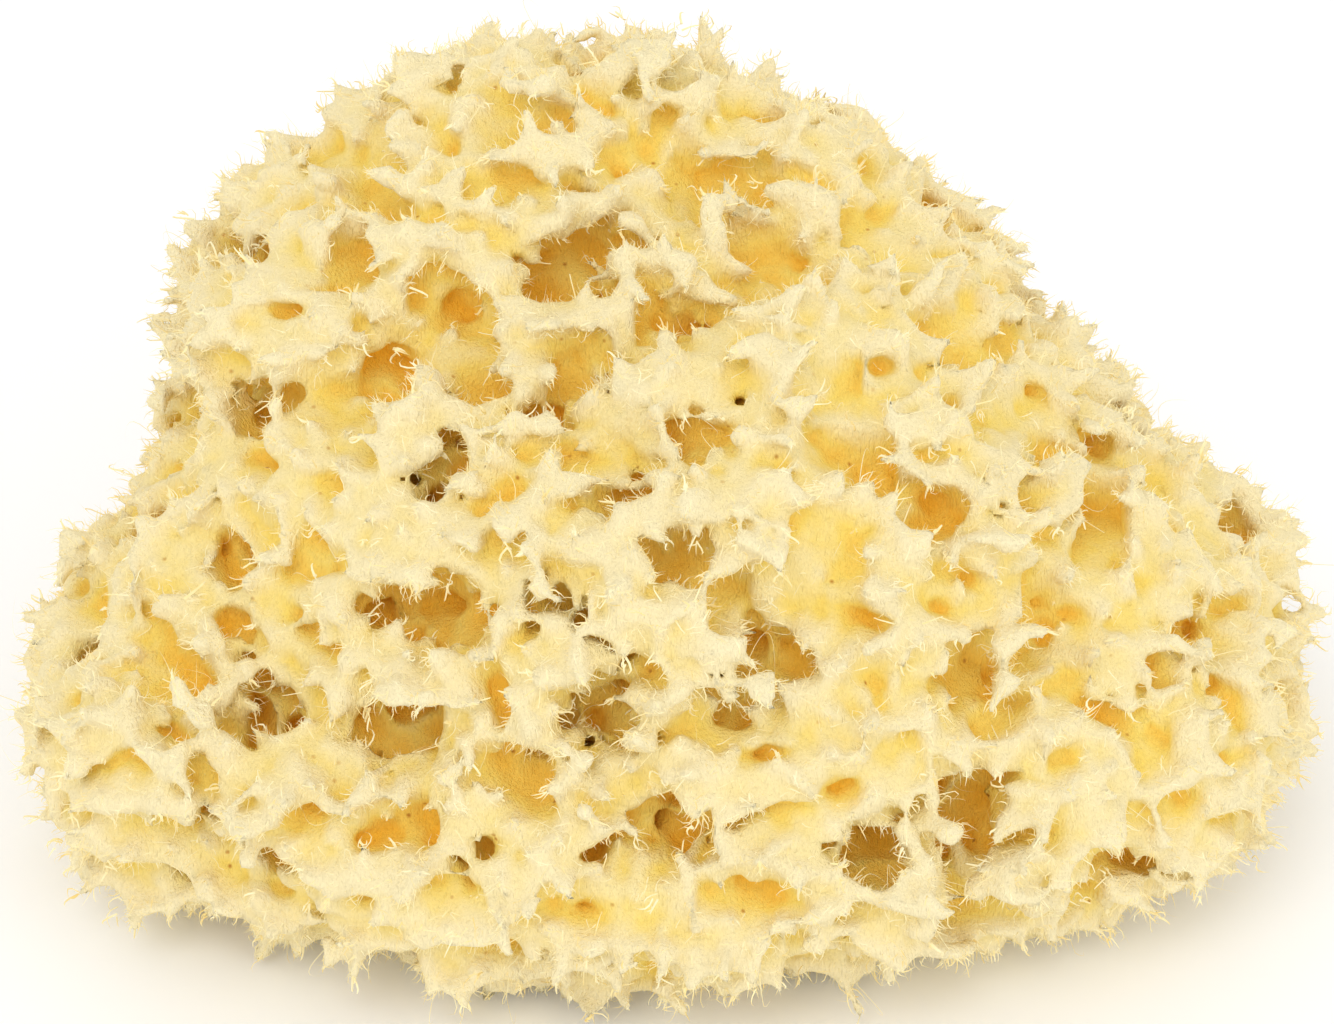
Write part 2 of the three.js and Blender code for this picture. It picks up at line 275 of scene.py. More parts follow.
def cut_pit(mouth, inward, across, radius, stretch, depth):
    """A funnel with a round bottom, wider one way than the other."""
    near, cells = window(mouth, depth + 2 * radius)
    x, y, z = (c - m for c, m in zip(cells, mouth))
    along = x * inward[0] + y * inward[1] + z * inward[2]
    side = x * across[0] + y * across[1] + z * across[2]
    squared = x * x + y * y + z * z - along * along - side * side * (1 - 1 / stretch**2)
    down = np.clip(along, -radius, depth)
    narrow = radius * (PIT_MOUTH - PIT_TAPER * down / depth)
    pit = np.sqrt(np.maximum(squared, 0) + (along - down) ** 2) - narrow
    field[near] = -soft_least(-field[near], pit, PIT_BLEND)


places = spaced_places(field, PIT_SPACING, LOWEST_PIT)
inward = -slope(field, places, 2)
for place, into in zip(places, inward):
    across = np.cross(into, UP) + LEVEL + chance.normal(0, PIT_SWAY[0], 3)
    into = unit(into + UP * PIT_RISE + chance.normal(0, PIT_SWAY[1], 3))
    across = unit(across - into * across.dot(into))
    mouth = (place + first) * CELL
    radius, stretch = chance.uniform(*PIT_WIDTH), chance.uniform(*PIT_STRETCH)
    cut_pit(mouth, into, across, radius, stretch, chance.uniform(*PIT_DEPTH))
print("narrow canals", len(places))

# %% [markdown]
# Shelter
# How sheltered a place is, from a bare tip to the bottom of a canal, decides where tufts stand and
# later how much shade is painted into the felt's colour. It is the share of solid cells around the
# place: under a half on a ridge, over it in a canal. Blurring a coarse copy of the block is enough.
# That share is low again inside a wide chamber. So a second measure looks out from each cell in
# 26 directions, 30 mm or more, and adds up the felt in the way.

# %% Shelter
COARSE = 4
SIGHT = 12
FELT_DARKENS = 1.3  # light left past one full cell is e to the power of minus this


def shelter_of(field, passes, coarse=COARSE):
    """The share of solid around each coarse cell."""
    size = (count // coarse) * coarse
    full = (field[: size[0], : size[1], : size[2]] < 0).astype(np.float32)
    for axis in (0, 1, 2):
        shape = full.shape[:axis] + (full.shape[axis] // coarse, coarse) + full.shape[axis + 1 :]
        full = full.reshape(shape).mean(axis=axis + 1)
    padded = np.pad(full, passes, mode="edge")
    return blurred(padded, passes)[tuple(slice(passes, n - passes) for n in padded.shape)]


def sampled(block, points, coarse=COARSE):
    """A block's value at some points, in metres; coarse is the width of its cells."""
    place = (points / CELL - first) / coarse - 0.5 + 0.5 / coarse
    place = np.clip(place, 0, np.array(block.shape) - 1.001)
    whole = place.astype(int)
    t = place - whole
    value = np.zeros(len(points))
    for corner in np.ndindex(2, 2, 2):
        weight = np.prod(np.where(corner, t, 1 - t), axis=1)
        value += weight * block[tuple((whole + corner).T)]
    return value


def enclosure_of(field):
    """How much felt there is round each coarse cell, looking out in 26 directions."""
    full = np.pad(shelter_of(field, 0), SIGHT)
    inner = tuple(slice(SIGHT, n - SIGHT) for n in full.shape)
    light = 0
    ways = [np.array(way) - 1 for way in np.ndindex(3, 3, 3) if way != (1, 1, 1)]
    for way in ways:
        steps = (np.roll(full, step * way, axis=(0, 1, 2)) for step in range(1, SIGHT + 1))
        light = light + np.exp(-sum(steps)[inner] * np.linalg.norm(way) * FELT_DARKENS)
    return 1 - light / len(ways)


shelter = shelter_of(field, 2)
print("shelter spans", float(shelter.min()), "to", float(shelter.max()))

# %% [markdown]
# Tufts
# Where canals leave a ridge, the felt is drawn out to ragged tongues that lean outwards and
# droop, with a thin web of felt from each to its neighbours. Each tuft is a tapered slab melted
# into the ridge, and each web is a low rod between two of them.

# %% Tufts and webs
TUFT_SPACING = 3.5 * MM
TUFT_HEIGHT = (1.2 * MM, 4 * MM)
TUFT_WIDE = (0.1 * MM, 1.3 * MM)
TUFT_THICK = (0.42 * MM, 0.75 * MM)
TUFT_THIN = 0.24 * MM
TUFT_BLEND = 1.5 * MM
RIDGE_SHELTER = 0.56
LOWEST_TUFT = 2.5 * MM
DROOP = UP * -0.25
TUFT_SWAY = (0.3, 0.4)  # of the way out, and of the way across
TUFT_ROOT = 0.8  # millimetres under the felt
BARE_SPAN = 0.2  # tufts reach their full height this far under RIDGE_SHELTER
SHORTEST_TUFT = 0.15
LEEWAY = 0.022

SPARE = (high - low) * LEEWAY / 2
TOP = high + SPARE * (1, 1, 2)
BOTTOM = low - SPARE * (1, 1, 0)


def within(starts, ends):
    """The ends drawn back to the solid's own box and a little more."""
    line = ends - starts
    room = np.where(line > 0, TOP - starts, starts - BOTTOM)
    share = np.maximum(room, 0) / np.maximum(np.abs(line), 1e-9)
    return starts + line * np.minimum(share.min(axis=1), 1)[:, None]


def add_slab(start, end, wide, half_wide, thick, thin, blend):
    """A tongue from start to end: as wide as given at its root, and a point at its end."""
    line = end - start
    length = np.linalg.norm(line)
    near, cells = window((start + end) / 2, length / 2 + half_wide + thick + blend)
    x, y, z = (c - s for c, s in zip(cells, start))
    along = np.clip((x * line[0] + y * line[1] + z * line[2]) / line.dot(line), 0, 1)
    side = x * wide[0] + y * wide[1] + z * wide[2]
    inside = np.clip(side, -half_wide * (1 - along), half_wide * (1 - along))
    apart = sum((c - along * d - inside * w) ** 2 for c, d, w in zip((x, y, z), line, wide))
    slab = np.sqrt(apart) - (thick + (thin - thick) * along)
    field[near] = soft_least(field[near], slab, blend)


places = spaced_places(field, TUFT_SPACING, LOWEST_TUFT)
roots = (places + first) * CELL
ridge = sampled(shelter, roots) < RIDGE_SHELTER
places, roots = places[ridge], roots[ridge]
away = slope(field, places, 3)
lean = unit(away + DROOP + chance.normal(0, TUFT_SWAY[0], away.shape))
wide = np.cross(lean, UP) + LEVEL + chance.normal(0, TUFT_SWAY[1], away.shape)
wide = unit(wide - lean * (wide * lean).sum(1, keepdims=True))
bare = np.clip((RIDGE_SHELTER - sampled(shelter, roots)) / BARE_SPAN, SHORTEST_TUFT, 1)
heights = chance.uniform(*TUFT_HEIGHT, len(roots)) * bare
tips = within(roots, roots + lean * heights[:, None])
for root, out, tip, level in zip(roots, away, tips, wide):
    base = root - out * TUFT_ROOT * MM
    thick = chance.uniform(*TUFT_THICK)
    add_slab(base, tip, level, chance.uniform(*TUFT_WIDE), thick, TUFT_THIN, TUFT_BLEND)
print("tufts", len(roots))

WEB_REACH = 5.2 * MM
WEB_CHANCE = 0.25
WEB_HEIGHT = 0.42
WEB_THICK = 0.42 * MM
CURDS = 2.4 * MM
CURD_HEIGHT = 0.2 * MM

webs = 0
for i in range(len(roots)):
    apart = np.linalg.norm(roots[i + 1 :] - roots[i], axis=1)
    for j in np.flatnonzero(apart < WEB_REACH) + i + 1:
        if chance.random() < WEB_CHANCE:
            start = roots[i] + (tips[i] - roots[i]) * WEB_HEIGHT
            end = roots[j] + (tips[j] - roots[j]) * WEB_HEIGHT
            add_slab(start, end, UP, 0, WEB_THICK, WEB_THICK, TUFT_BLEND / 2)
            webs += 1
print("webs", webs)

field += cloud(CURDS) * CURD_HEIGHT

# %% [markdown]
# Canal floors
# No canal looks bottomless: light comes through the walls from the canals beside it. So each
# is filled from where it is shut in on nearly every side, by either measure, which gives it a
# golden floor. The floors have folds of their own.

# %% Canal floors
FAR = 16  # passes of the blur
SHUT_IN = 0.7
FLOOR_DEPTH = 33 * MM
FLOOR_BLEND = 2.5 * MM
CUT_OFF = 0.94
CUT_OFF_DEPTH = 45 * MM
FLOOR_FOLDS = 5 * MM
FLOOR_RISE = 2.2 * MM


def stretched(coarse):
    """A coarse block at the full number of cells."""
    for cells in count:
        place = np.clip((np.arange(cells) + 0.5) / COARSE - 0.5, 0, coarse.shape[0] - 1.001)
        whole = place.astype(int)
        weights = np.zeros((cells, coarse.shape[0]), dtype=np.float32)
        weights[np.arange(cells), whole] = 1 - (place - whole)
        weights[np.arange(cells), whole + 1] = place - whole
        coarse = np.tensordot(coarse, weights, axes=(0, 1))
    return coarse


shut_in = stretched(shelter_of(field, FAR))
floors = np.minimum(
    (SHUT_IN - shut_in) * FLOOR_DEPTH,
    (CUT_OFF - stretched(enclosure_of(field))) * CUT_OFF_DEPTH,
)
floors += (np.abs(cloud(FLOOR_FOLDS)) - CLOUD_SIZE) * FLOOR_RISE
field = soft_least(field, floors, FLOOR_BLEND)
print("cells inside", int((field < 0).sum()))

# %% [markdown]
# The cut
# The sponge was sliced off the rock, so everything under the cut is taken away, which also
# opens the canals that the knife went through. The same step keeps the felt within the size of
# the solid.

# %% The cut
for axis in range(3):
    beyond = np.maximum(axes[axis] - TOP[axis], BOTTOM[axis] - axes[axis])
    shape = [1, 1, 1]
    shape[axis] = -1
    field = np.maximum(field, beyond.reshape(shape))

# %% [markdown]
# From cells to a mesh
# The surface runs where the distance is nought. Blender's volume library lays a net of small
# squares over it, and the Decimate modifier then takes triangles away where the felt is smooth
# and leaves them on tips and rims, where they show.

# %% The felt
FELT_TRIANGLES = 190_000


def mesh_of(name, points, faces):
    """A mesh from arrays: points, and faces with the same number of corners each."""
    mesh = bpy.data.meshes.new(name)
    mesh.vertices.add(len(points))
    mesh.vertices.foreach_set("co", np.ascontiguousarray(points, dtype=np.float32).ravel())
    mesh.loops.add(faces.size)
    mesh.loops.foreach_set("vertex_index", np.ascontiguousarray(faces, dtype=np.int32).ravel())
    mesh.polygons.add(len(faces))
    mesh.polygons.foreach_set("loop_start", np.arange(0, faces.size, faces.shape[1], dtype=np.int32))
    mesh.update(calc_edges=True)
    return mesh


def placed(name, mesh):
    piece = bpy.data.objects.new(name, mesh)
    bpy.context.collection.objects.link(piece)
    return piece


def applied(piece):
    """The piece with its modifiers worked into its mesh."""
    ready = piece.evaluated_get(bpy.context.evaluated_depsgraph_get())
    mesh = bpy.data.meshes.new_from_object(ready)
    piece.modifiers.clear()
    piece.data = mesh
    return piece


def without_crumbs(mesh):
    """Keeps the one body that everything visible belongs to."""
    shape = bmesh.new()
    shape.from_mesh(mesh)
    left = set(shape.verts)
    bodies = []
    while left:
        body, edge = set(), [left.pop()]
        while edge:
            vert = edge.pop()
            body.add(vert)
            for link in vert.link_edges:
                other = link.other_vert(vert)
                if other in left:
                    left.remove(other)
                    edge.append(other)
        bodies.append(body)
    bodies.sort(key=len)
    crumbs = [vert for body in bodies[:-1] for vert in body]
    bmesh.ops.delete(shape, geom=crumbs, context="VERTS")
    bmesh.ops.recalc_face_normals(shape, faces=shape.faces)
    shape.to_mesh(mesh)
    shape.free()


levels = openvdb.FloatGrid(REACH)
levels.transform = openvdb.createLinearTransform(voxelSize=CELL)
levels.copyFromArray(field, ijk=tuple(int(i) for i in first))
points, _, squares = levels.convertToPolygons(0, 0)
print("net of", len(squares), "squares")
felt = placed("felt", mesh_of("felt", points, squares[:, ::-1]))
thinner = felt.modifiers.new("thinner", "DECIMATE")
thinner.ratio = FELT_TRIANGLES / (2 * len(squares))
thinner.use_collapse_triangulate = True
applied(felt)
without_crumbs(felt.data)
felt.data.shade_smooth()
print("felt triangles", len(felt.data.polygons))

# %% [markdown]
# Painted shade by shelter
# The felt's colour is painted with shade: tips almost white, slopes straw, the canals golden and, at
# their bottom, brown. This stands for the light that grows dim and golden as it bounces between the
# yellow walls. So every corner's shelter, close by and near, and how shut in it is are kept on the
# mesh as attributes for the shader.

# %% Shelter on the mesh
def keep_values(mesh, name, values):
    attribute = mesh.attributes.new(name, "FLOAT", "POINT")
    attribute.data.foreach_set("value", np.ascontiguousarray(values, dtype=np.float32))


def corners_of(mesh):
    points = np.empty(3 * len(mesh.vertices), dtype=np.float32)
    mesh.vertices.foreach_get("co", points)
    return points.reshape(-1, 3)


FINE = 2
felt_points = corners_of(felt.data)
close_shelter = shelter_of(field, 2, FINE)
near_shelter = shelter_of(field, 2)
enclosure = enclosure_of(field)
for name, block, coarse in (
    ("close_shelter", close_shelter, FINE),
    ("near_shelter", near_shelter, COARSE),
    ("enclosure", enclosure, COARSE),
):
    values = sampled(block, felt_points, coarse)
    keep_values(felt.data, name, values)
    shares = np.percentile(values, (5, 25, 50, 75, 95)).round(2)
    print(name, "at the 5, 25, 50, 75 and 95 percent marks", shares.tolist())

# %% [markdown]
# Shader sums
# Node graphs read better as sums. This class wraps a socket, so that plain Python operators add
# the Math nodes. Colours and vectors go through Mix and Vector Math nodes instead, made by the
# one method that makes every other node too.

# %% Shader sums
class Wire:
    """A number from a socket; each operator adds a Math node."""

    def __init__(self, material, socket):
        self.material = material
        self.socket = socket

    def sum(self, operation, *values):
        node = self.material.node("ShaderNodeMath", {"operation": operation}, *values)
        return Wire(self.material, node.outputs[0])

    def __add__(self, other):
        return self.sum("ADD", self, other)

    def __sub__(self, other):
        return self.sum("SUBTRACT", self, other)

    def __mul__(self, other):
        return self.sum("MULTIPLY", self, other)

    __radd__ = __add__
    __rmul__ = __mul__

    def __rsub__(self, other):
        return self.sum("SUBTRACT", other, self)

    def clamped(self):
        return self.sum("MINIMUM", self.sum("MAXIMUM", self, 0.0), 1.0)


class Finish:
    """A material whose nodes are made in one way: type, settings, then sockets."""

    def __init__(self, name):
        self.material = bpy.data.materials.new(name)
        self.material.use_nodes = True
        self.tree = self.material.node_tree
        self.tree.nodes.clear()

    def node(self, kind, settings=None, *values, **named):
        node = self.tree.nodes.new(kind)
        for name, value in (settings or {}).items():
            if name == "stops":
                self.set_stops(node.color_ramp, value)
            else:
                setattr(node, name, value)
        sockets = [(node.inputs[i], value) for i, value in enumerate(values)]
        sockets += [(self.socket_of(node, name), value) for name, value in named.items()]
        for socket, value in sockets:
            if isinstance(value, Wire):
                self.tree.links.new(value.socket, socket)
            elif isinstance(value, bpy.types.NodeSocket):
                self.tree.links.new(value, socket)
            else:
                socket.default_value = value
        return node

    @staticmethod
    def socket_of(node, name):
        wanted = name.replace("_", " ").lower()
        return next(s for s in node.inputs if s.enabled and s.name.lower() == wanted)

    @staticmethod
    def set_stops(ramp, stops):
        while len(ramp.elements) < len(stops):
            ramp.elements.new(0.5)
        for element, (place, colour) in zip(ramp.elements, stops):
            element.position = place
            element.color = (*linear(colour), 1)

    def wire(self, node, output=0):
        return Wire(self, node.outputs[output])


def linear(colour):
    """A colour as seen, from 0 to 255, in the light values that the shader works in."""
    shares = [c / 255 for c in colour]
    return [s / 12.92 if s <= 0.04045 else ((s + 0.055) / 1.055) ** 2.4 for s in shares]


# %% [markdown]
# The felt's finish
# Felt is matt, and pale enough that light goes from wall to wall in a canal and turns golden on the
# way, so even the deepest felt is not dark in itself. The golden and brown that its colour takes on
# with shelter is painted shade for that light. Over its colour lie a mottle a few millimetres wide
# and the fine grain of the fibres, which is relief too small for triangles.

# %% Felt finish
# Painted shade: cream on the tips, then straw, gold, ochre and brown the more sheltered the felt is.
TIP_CREAM = (248, 234, 190)
STRAW = (247, 230, 180)
GOLD = (247, 226, 158)
OCHRE_SHADE = (248, 219, 114)
BROWN_SHADE = (247, 194, 68)
# Painted shade: the colour of the shade inside tiny pores.
PORE_SHADE = (196, 140, 60)
PORES_PER_METRE = 280.0
PORE_SIZE = 0.1
PORE_EDGE = 14.0
PORES_FROM = 0.56
MOTTLES_PER_METRE = 260.0
GRAINS_PER_METRE = 2400.0
GRAIN_HEIGHT = 0.6 * MM
COMBING = (1.0, 1.0, 0.3)
CLOSE_SHARE, NEAR_SHARE, SHUT_SHARE, MOTTLE_SHARE = 0.32, 0.32, 0.48, 0.15
PAINTED_SHADE_STOPS = [(0.29, TIP_CREAM), (0.5, STRAW), (0.63, GOLD), (0.75, OCHRE_SHADE), (0.92, BROWN_SHADE)]

felt_finish = Finish("sponge_felt")
place = felt_finish.node("ShaderNodeTexCoord").outputs["Object"]
close, near, shut = (
    felt_finish.wire(felt_finish.node("ShaderNodeAttribute", {"attribute_name": name}), "Fac")
    for name in ("close_shelter", "near_shelter", "enclosure")
)
mottles = felt_finish.node(
    "ShaderNodeTexNoise", {}, Vector=place, Scale=MOTTLES_PER_METRE, Detail=2.0, Roughness=0.6
)
mottle = felt_finish.wire(mottles, "Fac")
# Painted shade: how sheltered and shut in the felt is picks its colour from the stops.
depth = close * CLOSE_SHARE + near * NEAR_SHARE + shut * SHUT_SHARE
depth = depth + (mottle - 0.5) * MOTTLE_SHARE
colour = felt_finish.node("ShaderNodeValToRGB", {"stops": PAINTED_SHADE_STOPS}, depth).outputs[0]
# Painted shade: dark dots where tiny pores would hold shade, only in the sheltered felt.
holes = felt_finish.node(
    "ShaderNodeTexVoronoi", {"feature": "F1"}, Vector=place, Scale=PORES_PER_METRE
)
pores = felt_finish.wire(holes, "Distance")
pore_shade = ((PORE_SIZE - pores) * PORE_EDGE).clamped() * ((depth - PORES_FROM) * 6).clamped()
colour = felt_finish.node(
    "ShaderNodeMix", {"data_type": "RGBA"}, Factor=pore_shade, A=colour, B=(*linear(PORE_SHADE), 1)
).outputs["Result"]
drawn_out = felt_finish.node("ShaderNodeVectorMath", {"operation": "MULTIPLY"}, place, COMBING)
grains = felt_finish.node(
    "ShaderNodeTexNoise",
    {},
    Vector=drawn_out.outputs[0],
    Scale=GRAINS_PER_METRE,
    Detail=2.0,
    Roughness=0.7,
)
grain = felt_finish.wire(grains, "Fac")
relief = felt_finish.node(
    "ShaderNodeBump", {}, Strength=0.8, Distance=GRAIN_HEIGHT, Height=grain
)
surface = felt_finish.node(
    "ShaderNodeBsdfPrincipled",
    {},
    Base_Color=colour,
    Roughness=0.9,
    Specular_IOR_Level=0.1,
    Normal=relief.outputs[0],
)
felt_finish.node("ShaderNodeOutputMaterial", {}, surface.outputs[0])
felt.data.materials.append(felt_finish.material)
print("felt finish nodes", len(felt_finish.tree.nodes))

# %% [markdown]
# Loose fibres
# Some stand out of the felt: a short nap, longer fibres on the rims of canals, frayed ends at every
# tuft and a few long strays. Others lie along it in streaks. Hair curves would be lost when the
# model is exported, so each fibre is a three-sided tapered tube, and thousands are joined in one
# mesh straight from arrays. Each mesh has its own UV map for baking, because Blender would take
# minutes to unwrap so many small faces.

# %% Fibre tubes
THICKEST = 0.2 * MM
TAPER = 0.75


def fibre_mesh(name, lines, thick):
    """Tapered tubes along lines, which are points in a row for each fibre, ending in a point."""
    number, rings = len(lines), lines.shape[1] - 1
    lines = np.clip(lines, BOTTOM + THICKEST, TOP - THICKEST)
    ahead = unit(lines[:, -1] - lines[:, 0] + 1e-12)
    side = unit(np.cross(ahead, chance.standard_normal(ahead.shape)))
    other = np.cross(ahead, side)
    width = thick[:, None] * (1 - TAPER * np.arange(rings) / rings)
    angles = (np.arange(3) * (2 * np.pi / 3))[None, :, None]
    spokes = side[:, None, :] * np.cos(angles) + other[:, None, :] * np.sin(angles)
    corners = lines[:, :-1, None, :] + spokes[:, None, :, :] * width[:, :, None, None]
    points = np.concatenate([corners.reshape(number, -1, 3), lines[:, -1:, :]], axis=1)
    pattern = [(2, 1, 0)]
    for ring in range(rings - 1):
        for edge in range(3):
            a, b = 3 * ring + edge, 3 * ring + (edge + 1) % 3
            pattern += [(a, b, b + 3), (a, b + 3, a + 3)]
    last = 3 * (rings - 1)
    pattern += [(last + edge, last + (edge + 1) % 3, 3 * rings) for edge in range(3)]
    each = 3 * rings + 1
    faces = np.array(pattern)[None, :, :] + (np.arange(number) * each)[:, None, None]
    mesh = mesh_of(name, points.reshape(-1, 3), faces.reshape(-1, 3))
    add_bake_map(mesh, number, rings)
    print(name, number, "fibres", len(mesh.polygons), "triangles")
    return mesh


def add_bake_map(mesh, number, rings):
    """A UV map with a square for every fibre: the root's end below, then ring above ring."""
    spots = [(0, 0), (3, 0), (1.5, 0.9)]
    for ring in range(1, rings):
        for edge in range(3):
            a, b = (edge, ring), (edge + 1, ring)
            c, d = (edge + 1, ring + 1), (edge, ring + 1)
            spots += [a, b, c, a, c, d]
    for edge in range(3):
        spots += [(edge, rings), (edge + 1, rings), (edge + 0.5, rings + 1)]
    row = math.ceil(math.sqrt(number))
    square = np.stack(np.divmod(np.arange(number), row), axis=1)[:, None, :]
    places = (square + 0.1 + 0.8 * np.array(spots) / (3, rings + 1)) / row
    layer = mesh.uv_layers.new(name="OFBake")
    layer.uv.foreach_set("vector", places.astype(np.float32).ravel())


def bowed(starts, ends, bends, rings):
    """Lines from starts to ends, each bowed by its bend."""
    t = (np.arange(rings + 1) / rings)[None, :, None]
    line = (ends - starts)[:, None, :]
    return starts[:, None, :] + line * t + bends[:, None, :] * (4 * t * (1 - t))


def felt_spots(number, weight_of):
    """Random places on the felt with their normals, more of them where the weight is high."""
    mesh = felt.data
    triangles = np.empty(3 * len(mesh.polygons), dtype=np.int32)
    mesh.polygons.foreach_get("vertices", triangles)
    triangles = triangles.reshape(-1, 3)
    areas = np.empty(len(triangles), dtype=np.float32)
    mesh.polygons.foreach_get("area", areas)
    normals = np.empty(3 * len(mesh.vertices), dtype=np.float32)
    mesh.vertices.foreach_get("normal", normals)
    normals = normals.reshape(-1, 3)
    weights = areas * weight_of(felt_points[triangles].mean(axis=1))
    picked = chance.choice(len(triangles), number, p=weights / weights.sum())
    share = chance.dirichlet((1, 1, 1), number)[:, :, None]
    corners = triangles[picked]
    return (felt_points[corners] * share).sum(1), unit((normals[corners] * share).sum(1))


def combed(points, step):
    """The way from a place to the barest place near it: towards the crest of its ridge."""
    parts = []
    for axis in range(3):
        shift = np.zeros(3)
        shift[axis] = step
        parts.append(sampled(near_shelter, points - shift) - sampled(near_shelter, points + shift))
    return unit(np.stack(parts, axis=1) + 1e-9)


# %% [markdown]
# The nap
# Very short, thin hairs all over the ridges give the felt its soft edge. They could be a noise
# on the surface, but only hairs break up the outline. One ring and a tip is enough at their
# size, so each has only four triangles.

# %% Nap
COMB_STEP = 1.5 * MM
ROOT_DEPTH = 0.08  # millimetres under the felt
BAREST = 0.6
FIBRE_SPAN = 0.22
NAP = 24_000
NAP_LENGTH = (0.4 * MM, 1.3 * MM)
NAP_THICK = (0.04 * MM, 0.07 * MM)
LOWEST_FIBRE = 1.2 * MM


def bareness(points):
    """How many fibres stand at some points, as a share: 1 on a ridge, next to none in a canal."""
    bare = np.clip((BAREST - sampled(near_shelter, points)) / FIBRE_SPAN, 0.01, 1)
    return bare * (points[:, 2] > LOWEST_FIBRE)


def rim_bareness(points):
    """The same for fibres that stand on little but rims and tips."""
    return bareness(points) ** 4


def fibres(name, number, weight_of, lengths, thicks, comb, out_share, scatter, bow, rings):
    """A piece of fibres that stand on the felt and are combed towards its crests."""
    starts, out = felt_spots(number, weight_of)
    way = combed(starts, COMB_STEP) * comb + out * out_share
    way = unit(way + chance.normal(0, scatter, out.shape))
    reach = chance.uniform(*lengths, number)[:, None]
    ends = within(starts, starts + way * reach)
    bends = chance.normal(0, bow, out.shape) * reach
    starts = starts - out * ROOT_DEPTH * MM
    thick = chance.uniform(*thicks, number)
    return placed(name, fibre_mesh(name, bowed(starts, ends, bends, rings), thick))


nap_way = {"comb": 0.4, "out_share": 1, "scatter": 0.35, "bow": 0}
nap = fibres("nap", NAP, rim_bareness, NAP_LENGTH, NAP_THICK, rings=1, **nap_way)

# %% [markdown]
# Rim fibres
# Where a canal opens, the felt ends in longer fibres that bend over its rim. The nap's helper
# makes them too, more bent, and with three rings to bend at.

# %% Rim fibres
RIM_FIBRES = 12_000
RIM_LENGTH = (0.8 * MM, 2.4 * MM)
RIM_THICK = (0.05 * MM, 0.11 * MM)

rim_way = {"comb": 0.8, "out_share": 0.35, "scatter": 0.55, "bow": 0.3}
rims = fibres(
    "rim_fibres", RIM_FIBRES, rim_bareness, RIM_LENGTH, RIM_THICK, rings=3, **rim_way
)

# %% [markdown]
# Streaks
# On its slopes the felt looks combed, because fibres lie along it towards the crests. Each is
# marched over the felt a step at a time and put back on the surface after every step. The few
# that still come off it are left out.

# %% Streaks
STREAKS = 9_000
STREAK_STEP = 0.6 * MM
STREAK_RINGS = 4
STREAK_LIFT = 0.04 * MM
STREAK_OFF = 0.25 * MM
STREAK_THICK = (0.05 * MM, 0.09 * MM)
STREAK_SWAY = (0.45, 0.2)  # at the start, and then at each step


def uphill(points):
    """Straight out of the felt at some points near it."""
    parts = []
    for axis in range(3):
        shift = np.zeros(3)
        shift[axis] = CELL
        parts.append(sampled(field, points + shift, 1) - sampled(field, points - shift, 1))
    return unit(np.stack(parts, axis=1) + 1e-12)


spots, out = felt_spots(STREAKS, bareness)
way = combed(spots, COMB_STEP) + chance.normal(0, STREAK_SWAY[0], out.shape)
rows = [spots + out * STREAK_LIFT]
for _ in range(STREAK_RINGS):
    out = uphill(rows[-1])
    level = way - out * (way * out).sum(1, keepdims=True)
    way = unit(level + chance.normal(0, STREAK_SWAY[1], out.shape))
    ahead = rows[-1] + way * STREAK_STEP
    rows.append(ahead - uphill(ahead) * (sampled(field, ahead, 1) - STREAK_LIFT)[:, None])
lines = np.stack(rows, axis=1)
off = [np.abs(sampled(field, row, 1)) for row in rows]
lines = lines[np.max(off, axis=0) < STREAK_OFF]
thick = chance.uniform(*STREAK_THICK, len(lines))
streaks = placed("streaks", fibre_mesh("streaks", lines, thick))

# %% [markdown]
# Frayed ends
# A tuft isn't a smooth horn but a bundle of fibres that part towards its tip. A few run along
# every tuft and splay past its sides, which hides the slab's smooth edge.

# %% Frayed ends
FRAYS = 4
FRAY_LENGTH = (0.3 * MM, 1.8 * MM)
FRAY_THICK = (0.1 * MM, 0.21 * MM)
FRAY_RINGS = 4
FRAY_UP = (0.2, 0.85)  # where on its tuft a fibre starts
FRAY_ASIDE = 0.4 * MM
FRAY_SPLAY = 0.45
FRAY_BOW = 0.24

tuft = np.repeat(np.arange(len(roots)), FRAYS)
tuft_line = tips[tuft] - roots[tuft]
up = chance.uniform(*FRAY_UP, len(tuft))[:, None]
aside = wide[tuft] * chance.normal(0, FRAY_ASIDE, up.shape) * (1 - up)
starts = roots[tuft] + tuft_line * up + aside
splay = unit(unit(tuft_line) + chance.normal(0, FRAY_SPLAY, tuft_line.shape))
reach = chance.uniform(*FRAY_LENGTH, up.shape) * bare[tuft][:, None] ** 0.5
ends = within(starts, tips[tuft] - tuft_line * (1 - up) * 0.5 + aside * 2 + splay * reach)
span = np.linalg.norm(ends - starts, axis=1)[:, None]
bends = chance.normal(0, FRAY_BOW, splay.shape) * span
thick = chance.uniform(*FRAY_THICK, len(tuft))
lines = bowed(starts, ends, bends, FRAY_RINGS)
frays = placed("frayed_ends", fibre_mesh("frayed_ends", lines, thick))

# %% [markdown]
# Strays
# Here and there one long, thin fibre has worked loose. Few are needed, because they catch the
# eye against a plain background. Eight rings let them bend smoothly.

# %% Strays
STRAYS = 900
STRAY_LENGTH = (2 * MM, 5 * MM)
STRAY_THICK = (0.035 * MM, 0.06 * MM)

stray_way = {"comb": 1, "out_share": 0.6, "scatter": 0.6, "bow": 0.3}
strays = fibres("strays", STRAYS, bareness, STRAY_LENGTH, STRAY_THICK, rings=8, **stray_way)
loose = [nap, rims, streaks, frays, strays]

